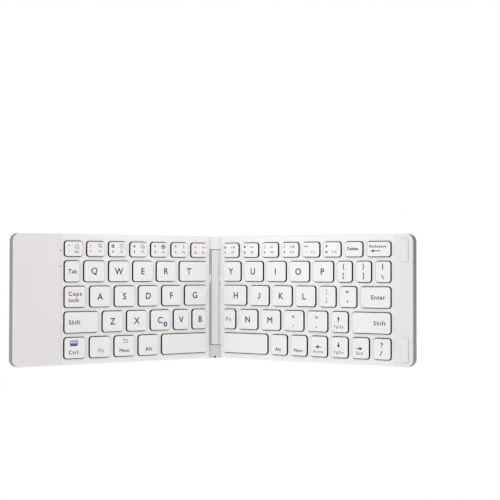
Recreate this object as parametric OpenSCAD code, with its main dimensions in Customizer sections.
// Folding keyboard: two halves on a twin-axis spine, opened like a book and stood on the front edge.
// +Z runs along the two hinge axes, the keys face -Y, and the left half lies towards -X.
// The origin is on the ground, midway between the hinge axes. All lengths are millimetres.
//
// Each half is drawn flat in its own frame, which in_half() then folds about its hinge axis:
// x is the distance outwards from the hinge axis, z the height, and a depth is measured from the
// deck towards the back.

/* [Keys] */
// Width of one letter key and the strip beside it
key_pitch = 19; // [18.5:0.1:19.5]
// Distance between rows of keys
row_pitch = 18; // [17.5:0.1:19]
// Height of the number row's openings
number_row_h = 11.45; // [10.5:0.05:13]
// Width of the deck left between two key openings
web = 2.45; // [2.4:0.05:2.8]
// Clearance round a key in its opening
key_gap = 0.45; // [0.3:0.05:0.6]
// Corner radius of a key
key_r = 1.8; // [1:0.1:2.4]
// How far the keys stand above the deck
key_rise = 1.15; // [0.9:0.05:1.2]
// How far a key travels when pressed
key_travel = 1.4; // [1:0.05:1.5]
// Space left under the skirt of a pressed key
landing_gap = 1.2; // [1:0.05:1.4]
// Thickness of a key's top
key_top_t = 1.6; // [1.4:0.05:1.8]
// Thickness of a key's skirt
skirt_t = 0.9; // [0.8:0.05:1]
// Width of the left key block, in letter keys
left_units = 6.15; // [6.05:0.01:6.2]
// Width of the right key block, in letter keys
right_units = 7.25; // [7.15:0.01:7.35]
// Width of a number key, in letter keys
number_u = 0.88; // [0.86:0.01:0.91]
// Width of the tab and bracket keys, in letter keys
bracket_u = 0.764; // [0.74:0.002:0.78]
// Width of a punctuation key, in letter keys
punctuation_u = 0.842; // [0.82:0.002:0.86]
// Width of an arrow key, in letter keys
arrow_u = 0.848; // [0.83:0.002:0.86]
// Width of the V key, in letter keys
v_key_u = 0.828; // [0.81:0.002:0.84]
// Width of the backspace key, in letter keys
backspace_u = 1.105; // [1.08:0.005:1.13]
// Width of the enter key, in letter keys
enter_u = 1.348; // [1.32:0.002:1.38]
// Width of the left shift key, in letter keys
left_shift_u = 1.512; // [1.48:0.002:1.54]
// Width of the right shift key, in letter keys
right_shift_u = 1.69; // [1.66:0.002:1.72]

/* [Halves] */
// Deck between the front edge and the first row
front_margin = 4.2; // [4:0.1:6]
// Deck between the number row and the far edge
back_margin = 4.85; // [4.5:0.05:6]
// Deck between the last key opening and the end panel
end_margin = 2.05; // [1.8:0.05:2.6]
// Width of the right end panel
right_panel_w = 13.9; // [13.6:0.1:16]
// How far the end panels stand above the deck
panel_rise = 0.9; // [0.6:0.05:0.95]
// Thickness of an end panel
panel_t = 1.2; // [1:0.05:1.3]
// Thickness of a half, from deck to back
half_t = 6.2; // [6.1:0.05:7]
// Thickness of the key frame
frame_t = 1.3; // [1.2:0.05:1.4]
// Radius of the outer corners
corner_r = 5.5; // [4:0.5:7]
// Thickness of the back cover's floor
floor_t = 1.2; // [1.1:0.05:1.3]
// Thickness of the back cover's side walls
wall_t = 1.6; // [1.4:0.05:1.8]
// Width of the metal rim that shows round the deck
rim_w = 0.5; // [0.4:0.05:0.6]
// Depth of the metal rim below the deck
rim_drop = 0.3; // [0.2:0.05:0.5]

/* [Hinge] */
// Distance between the two hinge axes
axis_gap = 8; // [7.9:0.05:8.6]
// Depth of the hinge axes below the deck
axis_depth = 2.6; // [2.5:0.05:2.6]
// Radius of the hinge barrels and caps
barrel_r = 1.8; // [1.7:0.05:1.85]
// Clearance between the barrels and what turns round them
hinge_clear = 0.3; // [0.25:0.05:0.35]
// Height of the caps at the ends of the spine
cap_h = 9.8; // [8:0.1:12]
// Radius of the hinge pins
pin_r = 0.8; // [0.6:0.05:0.9]
// Length of a hinge pin
pin_len = 12; // [8:0.5:14]
// Radial clearance of a pin in its barrel
pin_clear = 0.05; // [0.03:0.01:0.08]
// Width of the plate along the front of the spine
front_plate_w = 5.4; // [4.6:0.1:5.4]
// Height above the ground of the window that the flex cable passes through
cable_z = 56; // [50:0.5:60]
// Height of that window
cable_window_h = 8; // [6:0.5:10]
// Fold of each half from flat as the keyboard stands
fold = 30; // [0:1:60]

/* [Inside] */
// Thickness of the steel base plate
base_t = 0.5; // [0.4:0.05:0.6]
// Thickness of the dome membrane
membrane_t = 0.3; // [0.2:0.05:0.4]
// Radius of a rubber dome at its foot
dome_r = 2.4; // [2:0.1:2.4]
// Thickness of a scissor link
link_t = 0.6; // [0.5:0.05:0.7]
// Width of the battery
battery_w = 20; // [16:0.5:21]
// Height of the battery
battery_h = 46; // [30:1:48]
// Thickness of the battery
battery_t = 3.4; // [3:0.1:3.5]
// Height of the circuit board
board_h = 32; // [30:0.5:34]
// Thickness of the circuit board
board_t = 0.8; // [0.6:0.1:1]
// Width of the charge port
port_w = 7.4; // [6.5:0.1:8]
// Thickness of the charge port
port_t = 2.2; // [2:0.05:2.3]
// Distance of the upper indicator light from the far edge
light_z = 12.1; // [10:0.1:14]
// Distance between the two indicator lights
light_pitch = 10.7; // [8:0.1:12]
// Radius of an indicator light pipe
light_r = 0.35; // [0.25:0.05:0.4]
// Radius of a closing magnet
magnet_r = 2.3; // [1.8:0.1:2.6]
// Thickness of a closing magnet
magnet_t = 1.8; // [1:0.1:2.4]
// Width of a bumper pad
pad_w = 5; // [4:0.1:6]
// Length of a bumper pad
pad_h = 16; // [12:0.5:20]
// How far a bumper pad stands above its end panel
pad_rise = 0.8; // [0.6:0.05:0.85]
// Length of a rubber foot
foot_len = 26; // [16:1:40]
// Width of a rubber foot
foot_w = 5; // [4:0.5:8]
// How far a rubber foot stands out of the back
foot_rise = 0.6; // [0.4:0.1:1]
// Radius of a frame screw's shank
screw_r = 0.5; // [0.4:0.05:0.55]

/* [Hidden] */
$fn = 48;
eps = 0.01;

// Colours
deck_white = [0.93, 0.93, 0.94];
key_white = [0.96, 0.96, 0.97];
plate_grey = [0.86, 0.86, 0.88];
metal_grey = [0.55, 0.56, 0.58];
steel_grey = [0.7, 0.7, 0.72];
silicone_grey = [0.8, 0.8, 0.8];
pad_white = [0.9, 0.9, 0.91];

// Rows of each half from the number row down to the space bar row. Each list gives the widths of
// the keys from the outer end inwards, in letter keys; the innermost key takes what is left.
LEFT = 0;
RIGHT = 1;
units = [left_units, right_units];
rows = [
    [
        [number_u, number_u, number_u, number_u, number_u, number_u],
        [bracket_u, 1, 1, 1, 1],
        [1, 1, 1, 1, 1],
        [left_shift_u, 1, 1, 1, v_key_u],
        [1, 1, 1, 1]
    ],
    [
        [backspace_u, number_u, number_u, number_u, number_u, number_u, number_u],
        [bracket_u, bracket_u, bracket_u, 1, 1, 1, 1],
        [enter_u, punctuation_u, punctuation_u, 1, 1, 1],
        [right_shift_u, punctuation_u, 1, 1, 1, 1],
        [arrow_u, arrow_u, arrow_u, arrow_u, arrow_u, arrow_u]
    ]
];
row_count = len(rows[LEFT]);

// Depths below the deck
panel_top = -panel_rise;
panel_under = panel_top + panel_t;
key_ceiling = key_top_t - key_rise;
floor_top = half_t - floor_t;
base_top = floor_top - base_t;
membrane_top = base_top - membrane_t;
key_bottom = membrane_top - key_travel - landing_gap;

// Places along a half, outwards from its hinge axis
inner_edge = barrel_r + hinge_clear;
hinge_wall = 1.2;
inner_wall = inner_edge + hinge_wall;
block_start = inner_edge + web / 2;
opening_end = [for (s = [LEFT, RIGHT]) block_start + units[s] * key_pitch - web / 2];
panel_line = [for (s = [LEFT, RIGHT]) opening_end[s] + end_margin];
outer_end = panel_line[RIGHT] + right_panel_w;
seam = 0.08;
plate_gap = 0.1;
rib_t = 1.2;

// Heights
body_h = front_margin + (row_count - 1) * row_pitch + number_row_h + back_margin;
light_heights = [body_h - light_z, body_h - light_z - light_pitch];
slot_gap = 0.3;
cap_top = body_h - cap_h;
cable_top = cable_z + cable_window_h;

// Spine
axis_x = axis_gap / 2;
back_y = half_t - axis_depth;
spine_step = 0.4;
spine_half_w = axis_x + inner_edge - spine_step;
web_gap = 0.1;
web_half_w = axis_x - barrel_r - hinge_clear - web_gap;
plate_set_back = 0.05;
plate_front_y = -barrel_r + plate_set_back;
plate_t = 0.9;
cap_seam = 0.35;
spine_screw_r = 0.6;
spine_screw_len = 2.4;
spine_screw_z = 1;

// Ribbon cable between the halves
cable_t = 0.2;
cable_gap = 0.5;
cable_h = cable_window_h - 2 * cable_gap;
cable_end = inner_edge + web;

// Screws that hold the key frame to the base plate
post_r = 1.1;
screw_head_r = 1.1;
screw_head_t = 0.5;
screw_bite = 2.2;
screw_clear = 0.05;
post_rows = [1, 4];
post_shares = [0.12, 0.5, 0.88];

// Scissor links
dome_to_link = 0.5;
link_gap = 0.1;
link_end_gap = 1;

// Closing magnets and bumper pads sit at the same places on both halves
pad_from_rim = 5.6;
pad_x = outer_end - rim_w - pad_from_rim;
pad_inset = 3.5;
pad_seat = 0.4;
pad_corner_r = 1;
pad_centres = [pad_inset + pad_h / 2, body_h - pad_inset - pad_h / 2];

// Charge port and circuit board
port_from_end = 21;
port_x = outer_end - port_from_end;
port_gap = 0.1;
port_depth = 5.6;
port_recess = 0.2;
port_wall = 0.3;
port_floor = 0.5;
board_gap = 0.4;
board_side_gap = 0.2;
board_top = floor_top - board_gap - board_t;
board_x0 = panel_line[LEFT] + board_side_gap;
board_magnet_gap = 0.5;
board_x1 = pad_x - magnet_r - board_magnet_gap;
board_z1 = body_h - wall_t - board_side_gap;
board_z0 = board_z1 - board_h;
board_post_r = 1;
board_post_inset = 2;
rib_top = board_z0 - board_gap;
chip_t = 1;
chip_inset = 3;
chip_w = 5;
radio_w = 8;
radio_h = 10;
light_from_seam = 0.6;
light_x = panel_line[LEFT] + light_from_seam;
light_chip_t = 0.7;
light_chip_w = 1.6;

// Battery, midway between the rib and the magnets
battery_x = (panel_line[LEFT] + rib_t / 2 + pad_x - magnet_r) / 2;
battery_from_wall = 2;
battery_corner_r = 1.5;

// Rubber feet
foot_from_hinge = 8;
foot_from_panel = 6;

function sum(v, n) = n <= 0 ? 0 : v[n - 1] + sum(v, n - 1);

// Number of keys in a row
function key_count(s, r) = len(rows[s][r]) + 1;

// Edges of a key's opening: [inner x, outer x, low z, high z]
function opening(s, r, i) =
    let (
        row = rows[s][r],
        last = i == len(row),
        outer = block_start + (units[s] - sum(row, i)) * key_pitch,
        inner = last ? block_start : block_start + (units[s] - sum(row, i + 1)) * key_pitch,
        low = front_margin + (row_count - 1 - r) * row_pitch,
        high = low + (r == 0 ? number_row_h : row_pitch - web)
    )
    [inner + web / 2, outer - web / 2, low, high];

function grow(box, by) = [box[0] - by, box[1] + by, box[2] - by, box[3] + by];
function centre(box) = [(box[0] + box[1]) / 2, (box[2] + box[3]) / 2];

// Every key of a half, as [row, number in the row]
function all_keys(s) = [for (r = [0 : row_count - 1]) for (i = [0 : key_count(s, r) - 1]) [r, i]];

// Places of the screws, in the strips of deck between two rows
function post_places(s) =
    [
        for (r = post_rows)
            for (share = post_shares)
                [
                    inner_edge + (opening_end[s] - inner_edge) * share,
                    front_margin + (row_count - r) * row_pitch - web / 2
                ]
    ];

// Places of the posts that the circuit board sits on
function board_posts() =
    [
        for (x = [board_x0 + board_post_inset, board_x1 - board_post_inset])
            for (z = [board_z0 + board_post_inset, board_z1 - board_post_inset])
                [x, z]
    ];

// Folds a half's own frame about its hinge axis
module in_half(s) {
    if (s == RIGHT)
        translate([axis_x, 0, 0]) rotate([0, 0, -fold]) children();
    else
        translate([-axis_x, 0, 0]) rotate([0, 0, fold]) mirror([1, 0, 0]) children();
}

// Extrudes an outline drawn in x and z between two depths below the deck
module between(d0, d1) {
    translate([0, d1 - axis_depth, 0]) rotate([90, 0, 0]) linear_extrude(d1 - d0) children();
}

module round_rect(box, r) {
    translate([box[0] + r, box[2]]) square([box[1] - box[0] - 2 * r, box[3] - box[2]]);
    translate([box[0], box[2] + r]) square([box[1] - box[0], box[3] - box[2] - 2 * r]);
    for (x = [box[0] + r, box[1] - r], z = [box[2] + r, box[3] - r])
        translate([x, z]) circle(r);
}

module rect(box) {
    translate([box[0], box[2]]) square([box[1] - box[0], box[3] - box[2]]);
}

// Outline of a half, square at the hinge and rounded at the outer end
module half_outline(inset, x0) {
    r = max(corner_r - inset, 0.5);
    x1 = outer_end - inset;
    rect([x0, x1 - r, inset, body_h - inset]);
    rect([x0, x1, inset + r, body_h - inset - r]);
    for (z = [inset + r, body_h - inset - r])
        translate([x1 - r, z]) circle(r);
}

// A round post or hole between two depths
module peg(place, r, d0, d1) {
    translate([place[0], d1 - axis_depth, place[1]]) rotate([90, 0, 0]) cylinder(r = r, h = d1 - d0);
}

/* Spine */

module at_axes() {
    for (x = [-axis_x, axis_x])
        translate([x, 0]) children();
}

module spine_housing() {
    color(metal_grey) difference() {
        translate([0, 0, cap_h]) linear_extrude(cap_top - cap_h) difference() {
            union() {
                translate([-spine_half_w, inner_edge])
                    square([2 * spine_half_w, back_y - inner_edge]);
                translate([-web_half_w, plate_front_y + plate_t])
                    square([2 * web_half_w, inner_edge - plate_front_y]);
            }
            at_axes() circle(inner_edge);
        }
        translate([-axis_x, -slot_gap, cable_z]) cube([axis_gap, 2 * slot_gap, cable_window_h]);
    }
}

module spine_front_plate() {
    color(plate_grey) translate([0, 0, cap_h + cap_seam])
        linear_extrude(cap_top - cap_h - 2 * cap_seam) difference() {
            translate([-front_plate_w / 2, plate_front_y]) square([front_plate_w, plate_t]);
            at_axes() circle(inner_edge);
        }
}

// A block round both axes, from z = 0 to the cap's height, with blind bores for the pins
module hinge_cap() {
    difference() {
        linear_extrude(cap_h) {
            at_axes() circle(barrel_r);
            translate([-axis_x, -barrel_r]) square([axis_gap, 2 * barrel_r]);
            translate([-spine_half_w, 0]) square([2 * spine_half_w, back_y]);
        }
        translate([0, 0, cap_h - pin_len / 2]) linear_extrude(pin_len) at_axes() circle(pin_r);
    }
}

module bottom_hinge_cap() {
    color(deck_white) difference() {
        hinge_cap();
        spine_screw_shape();
    }
}

module top_hinge_cap() {
    color(deck_white) translate([0, 0, body_h]) mirror([0, 0, 1]) hinge_cap();
}

module hinge_pins() {
    color(steel_grey) for (z = [cap_h, cap_top])
        translate([0, 0, z - pin_len / 2]) linear_extrude(pin_len) at_axes() circle(pin_r);
}

module spine_screw_shape() {
    translate([0, spine_screw_len - barrel_r, spine_screw_z]) rotate([90, 0, 0])
        cylinder(r = spine_screw_r, h = spine_screw_len);
}

module spine_screw() {
    color([0.1, 0.1, 0.1]) spine_screw_shape();
}

// The ribbon lies on both hinge axes, so that folding only bends it
module flex_cable() {
    color([0.85, 0.84, 0.8]) translate([0, 0, cable_z + cable_gap]) {
        translate([-axis_x, -cable_t / 2, 0]) cube([axis_gap, cable_t, cable_h]);
        for (s = [LEFT, RIGHT])
            in_half(s) {
                translate([0, -cable_t / 2, 0]) cube([cable_end, cable_t, cable_h]);
                cylinder(r = cable_t / 2, h = cable_h);
                translate([cable_end - cable_t, 0, 0])
                    cube([cable_t, membrane_top - axis_depth, cable_h]);
            }
    }
}

/* Halves */

// Tube that turns on the hinge pins, with the strip that joins it to the back cover
module barrel(z0, z1) {
    difference() {
        translate([0, 0, z0]) union() {
            cylinder(r = barrel_r, h = z1 - z0);
            translate([0, -barrel_r / 2, 0]) cube([inner_edge + eps, barrel_r, z1 - z0]);
        }
        for (z = [cap_h, cap_top])
            translate([0, 0, z - pin_len / 2 - slot_gap])
                cylinder(r = pin_r + pin_clear, h = pin_len + 2 * slot_gap);
    }
}

module back_cover(s) {
    in_half(s) {
        difference() {
            between(rim_drop, half_t) half_outline(0, inner_edge);
            between(rim_drop - 1, frame_t) half_outline(rim_w, inner_edge - 1);
            between(frame_t - eps, floor_top) half_outline(wall_t, inner_wall);
            translate([inner_edge - 1, -slot_gap, cable_z])
                cube([inner_wall - inner_edge + 2, 2 * slot_gap, cable_window_h]);
            for (p = post_places(s))
                peg(p, screw_head_r + screw_clear, floor_top - eps, floor_top + screw_head_t);
            if (s == LEFT)
                between(board_top - port_t - port_gap, board_top + port_gap)
                    rect([
                        port_x - port_w / 2 - port_gap, port_x + port_w / 2 + port_gap,
                        body_h - wall_t - 1, body_h + 1
                    ]);
        }
        barrel(cap_h + slot_gap, cable_z);
        barrel(cable_top, cap_top - slot_gap);
        // Rib under the joint between key frame and end panel
        between(frame_t, floor_top)
            rect([
                panel_line[s] - rib_t / 2, panel_line[s] + rib_t / 2,
                wall_t - eps, rib_top
            ]);
        if (s == LEFT)
            for (p = board_posts())
                peg(p, board_post_r, floor_top - board_gap, floor_top + eps);
    }
}

module key_frame(s) {
    edge = rim_w + seam;
    color(deck_white) in_half(s) difference() {
        union() {
            between(0, frame_t) intersection() {
                half_outline(edge, inner_edge);
                rect([inner_edge, panel_line[s] - seam, 0, body_h]);
            }
            for (p = post_places(s))
                peg(p, post_r, frame_t - eps, base_top);
        }
        for (k = all_keys(s))
            between(-1, frame_t + 1) round_rect(opening(s, k[0], k[1]), key_r + key_gap);
        for (p = post_places(s))
            peg(p, screw_r, base_top - screw_bite, base_top + 1);
    }
}

module panel_outline(s, inset) {
    intersection() {
        half_outline(rim_w + seam + inset, inner_edge);
        rect([panel_line[s] + seam + inset, outer_end, 0, body_h]);
    }
}

module end_panel(s) {
    ledge = wall_t - rim_w - seam;
    in_half(s) difference() {
        between(panel_top, frame_t) panel_outline(s, 0);
        between(panel_under, frame_t + 1) panel_outline(s, ledge);
        if (s == LEFT)
            for (z = light_heights)
                peg([light_x, z], light_r, panel_top - 1, frame_t + 1);
        if (s == RIGHT)
            for (z = pad_centres)
                between(panel_top - 1, panel_top + pad_seat) pad_outline(z);
    }
}

module pad_outline(z) {
    round_rect(
        [pad_x - pad_w / 2, pad_x + pad_w / 2, z - pad_h / 2, z + pad_h / 2],
        pad_corner_r
    );
}

module base_plate(s) {
    color(steel_grey) in_half(s) difference() {
        between(base_top, floor_top)
            rect([
                inner_wall + plate_gap, panel_line[s] - rib_t,
                wall_t + plate_gap, body_h - wall_t - plate_gap
            ]);
        for (p = post_places(s))
            peg(p, screw_r + screw_clear, base_top - 1, floor_top + 1);
    }
}

module dome_membrane(s) {
    color(silicone_grey) in_half(s) {
        difference() {
            between(membrane_top, base_top)
                rect([
                    inner_wall + 2 * plate_gap, panel_line[s] - rib_t - plate_gap,
                    wall_t + 2 * plate_gap, body_h - wall_t - 2 * plate_gap
                ]);
            for (p = post_places(s))
                peg(p, post_r + plate_gap, membrane_top - 1, base_top + 1);
        }
        for (k = all_keys(s)) {
            c = centre(opening(s, k[0], k[1]));
            translate([c[0], membrane_top + eps - axis_depth, c[1]]) rotate([90, 0, 0])
                cylinder(r1 = dome_r, r2 = dome_r / 2, h = membrane_top + eps - key_ceiling);
        }
    }
}

// One link is a flat ring, tilted from the membrane up to the key
module link(half_w, reach, turn) {
    rise = membrane_top - key_ceiling - 2 * link_t;
    tilt = atan2(rise, 2 * reach);
    length = 2 * reach / cos(tilt);
    rotate([turn * tilt, 0, 0]) difference() {
        translate([-half_w, -link_t / 2, -length / 2]) cube([2 * half_w, link_t, length]);
        translate([-half_w + link_t, -link_t, -length / 2 + link_t])
            cube([2 * half_w - 2 * link_t, 2 * link_t, length - 2 * link_t]);
    }
}

module scissor_links(s) {
    color(key_white) in_half(s) for (k = all_keys(s)) {
        box = opening(s, k[0], k[1]);
        c = centre(box);
        reach = (box[3] - box[2]) / 2 - key_gap - skirt_t - link_end_gap;
        translate([c[0], (membrane_top + key_ceiling) / 2 - axis_depth, c[1]]) {
            link(dome_r + dome_to_link + link_t, reach, 1);
            link(dome_r + dome_to_link + link_gap + 2 * link_t, reach, -1);
        }
    }
}

module magnets(s) {
    color(steel_grey) in_half(s) for (z = pad_centres)
        peg([pad_x, z], magnet_r, panel_under, panel_under + magnet_t);
}

module feet(s) {
    z_places = [front_margin + foot_w, body_h - back_margin - foot_w];
    x_places = [
        inner_edge + foot_from_hinge + foot_len / 2,
        panel_line[LEFT] - foot_from_panel - foot_len / 2
    ];
    color([0.3, 0.3, 0.32]) in_half(s) for (x = x_places, z = z_places)
        between(half_t, half_t + foot_rise)
            round_rect(
                [x - foot_len / 2, x + foot_len / 2, z - foot_w / 2, z + foot_w / 2],
                foot_w / 2 - eps
            );
}

module screws(s) {
    color(steel_grey) in_half(s) for (p = post_places(s)) {
        peg(p, screw_r, base_top - screw_bite, floor_top + eps);
        peg(p, screw_head_r, floor_top, floor_top + screw_head_t);
    }
}

module left_back_cover() {
    color(metal_grey) back_cover(LEFT);
}

module right_back_cover() {
    color(metal_grey) back_cover(RIGHT);
}

module left_key_frame() {
    key_frame(LEFT);
}

module right_key_frame() {
    key_frame(RIGHT);
}

module left_end_panel() {
    color(deck_white) end_panel(LEFT);
}

module right_end_panel() {
    color(deck_white) end_panel(RIGHT);
}

module left_base_plate() {
    base_plate(LEFT);
}

module right_base_plate() {
    base_plate(RIGHT);
}

module left_dome_membrane() {
    dome_membrane(LEFT);
}

module right_dome_membrane() {
    dome_membrane(RIGHT);
}

module left_scissor_links() {
    scissor_links(LEFT);
}

module right_scissor_links() {
    scissor_links(RIGHT);
}

module left_magnets() {
    magnets(LEFT);
}

module right_magnets() {
    magnets(RIGHT);
}

module left_feet() {
    feet(LEFT);
}

module right_feet() {
    feet(RIGHT);
}

module left_screws() {
    screws(LEFT);
}

module right_screws() {
    screws(RIGHT);
}

module battery() {
    z0 = wall_t + battery_from_wall;
    color([0.75, 0.76, 0.8]) in_half(LEFT)
        between(floor_top - battery_t, floor_top)
            round_rect(
                [battery_x - battery_w / 2, battery_x + battery_w / 2, z0, z0 + battery_h],
                battery_corner_r
            );
}

// Board with its wireless module, controller chip and the two indicator lights
module circuit_board() {
    radio = [board_x0 + 2 * chip_inset, board_z0 + chip_inset];
    chip = [board_x1 - chip_inset - chip_w, board_z0 + chip_inset];
    color([0.1, 0.35, 0.2]) in_half(LEFT) {
        between(board_top, board_top + board_t)
            rect([board_x0, board_x1, board_z0, board_z1]);
        between(board_top - chip_t, board_top + eps) {
            translate(radio) square([radio_w, radio_h]);
            translate(chip) square([chip_w, chip_w]);
        }
        for (z = light_heights)
            between(board_top - light_chip_t, board_top + eps)
                rect([board_x0, board_x0 + light_chip_w, z - light_chip_w / 2, z + light_chip_w / 2]);
    }
}

module charge_port() {
    half_w = port_w / 2;
    back = body_h - port_depth;
    color(steel_grey) in_half(LEFT) difference() {
        between(board_top - port_t, board_top)
            rect([port_x - half_w, port_x + half_w, back, body_h - port_recess]);
        between(board_top - port_t + port_wall, board_top - port_wall)
            rect([
                port_x - half_w + port_wall, port_x + half_w - port_wall,
                back + port_floor, body_h
            ]);
    }
}

module indicator_lights() {
    color([0.6, 0.75, 0.9]) in_half(LEFT) for (z = light_heights)
        peg([light_x, z], light_r, panel_top, board_top - light_chip_t);
}

module bumper_pads() {
    color(pad_white) in_half(RIGHT) for (z = pad_centres)
        between(panel_top - pad_rise, panel_top + pad_seat) pad_outline(z);
}

/* Keys */

module keycap(box) {
    cap = grow(box, -key_gap);
    difference() {
        between(-key_rise, key_bottom) round_rect(cap, key_r);
        between(key_ceiling, key_bottom + 1) rect(grow(cap, -skirt_t));
    }
}

module keys(s, r, first, last) {
    color(key_white) in_half(s) for (i = [first : last])
        keycap(opening(s, r, i));
}

module left_number_keys() { keys(LEFT, 0, 0, 6); }
module tab_key() { keys(LEFT, 1, 0, 0); }
module qwert_keys() { keys(LEFT, 1, 1, 5); }
module caps_key() { keys(LEFT, 2, 0, 0); }
module asdfg_keys() { keys(LEFT, 2, 1, 5); }
module left_shift_key() { keys(LEFT, 3, 0, 0); }
module zxcvb_keys() { keys(LEFT, 3, 1, 5); }
module control_key() { keys(LEFT, 4, 0, 0); }
module left_fn_key() { keys(LEFT, 4, 1, 1); }
module left_menu_key() { keys(LEFT, 4, 2, 2); }
module left_alt_key() { keys(LEFT, 4, 3, 3); }
module left_space_key() { keys(LEFT, 4, 4, 4); }
module backspace_key() { keys(RIGHT, 0, 0, 0); }
module delete_key() { keys(RIGHT, 0, 1, 1); }
module right_number_keys() { keys(RIGHT, 0, 2, 7); }
module punctuation_keys() {
    keys(RIGHT, 1, 0, 2);
    keys(RIGHT, 2, 1, 2);
}
module yuiop_keys() { keys(RIGHT, 1, 3, 7); }
module enter_key() { keys(RIGHT, 2, 0, 0); }
module hjkl_keys() { keys(RIGHT, 2, 3, 6); }
module right_shift_key() { keys(RIGHT, 3, 0, 0); }
module arrow_up_key() { keys(RIGHT, 3, 1, 1); }
module nm_keys() { keys(RIGHT, 3, 2, 5); }
module right_fn_key() { keys(RIGHT, 3, 6, 6); }
module slash_key() { keys(RIGHT, 4, 0, 0); }
module arrow_right_key() { keys(RIGHT, 4, 1, 1); }
module arrow_down_key() { keys(RIGHT, 4, 2, 2); }
module arrow_left_key() { keys(RIGHT, 4, 3, 3); }
module right_menu_key() { keys(RIGHT, 4, 4, 4); }
module right_alt_key() { keys(RIGHT, 4, 5, 5); }
module right_space_key() { keys(RIGHT, 4, 6, 6); }

spine_housing();
spine_front_plate();
top_hinge_cap();
bottom_hinge_cap();
hinge_pins();
spine_screw();
flex_cable();
left_back_cover();
left_key_frame();
left_end_panel();
left_base_plate();
left_dome_membrane();
left_scissor_links();
battery();
circuit_board();
charge_port();
indicator_lights();
left_magnets();
left_feet();
left_screws();
right_back_cover();
right_key_frame();
right_end_panel();
right_base_plate();
right_dome_membrane();
right_scissor_links();
right_magnets();
bumper_pads();
right_feet();
right_screws();
left_number_keys();
tab_key();
qwert_keys();
caps_key();
asdfg_keys();
left_shift_key();
zxcvb_keys();
control_key();
left_fn_key();
left_menu_key();
left_alt_key();
left_space_key();
right_number_keys();
delete_key();
backspace_key();
punctuation_keys();
yuiop_keys();
hjkl_keys();
enter_key();
nm_keys();
right_fn_key();
right_shift_key();
arrow_up_key();
arrow_left_key();
arrow_down_key();
arrow_right_key();
slash_key();
right_menu_key();
right_alt_key();
right_space_key();
